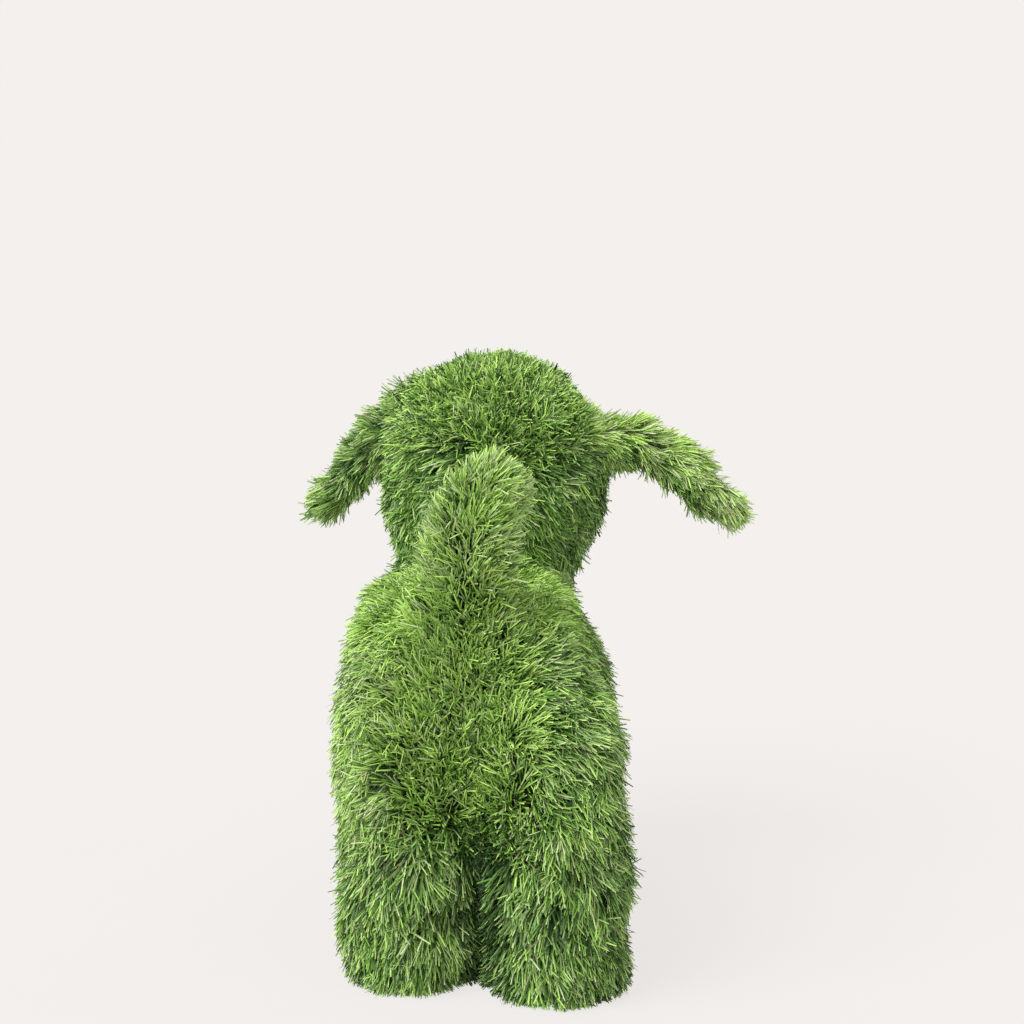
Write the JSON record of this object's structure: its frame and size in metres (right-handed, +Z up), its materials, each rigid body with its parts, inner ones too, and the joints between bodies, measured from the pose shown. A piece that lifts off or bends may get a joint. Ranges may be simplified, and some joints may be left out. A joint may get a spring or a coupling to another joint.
{
  "type": "artificial grass dog figure",
  "caption": "Standing puppy figure covered in artificial grass, with hanging ears, an upright tail and flat soles that it rests on.",
  "frame": {"origin": "centre of the bounding box's base, on the ground that the soles rest on", "axes": "+Z up, the dog faces -Y, and its left side is +X"},
  "size_m": [0.5672, 0.659, 0.6648],
  "materials": {
    "grass": "matte green blades of artificial grass"
  },
  "bodies": {
    "root": {"grass_dog": "grass"}
  },
  "joints": []
}
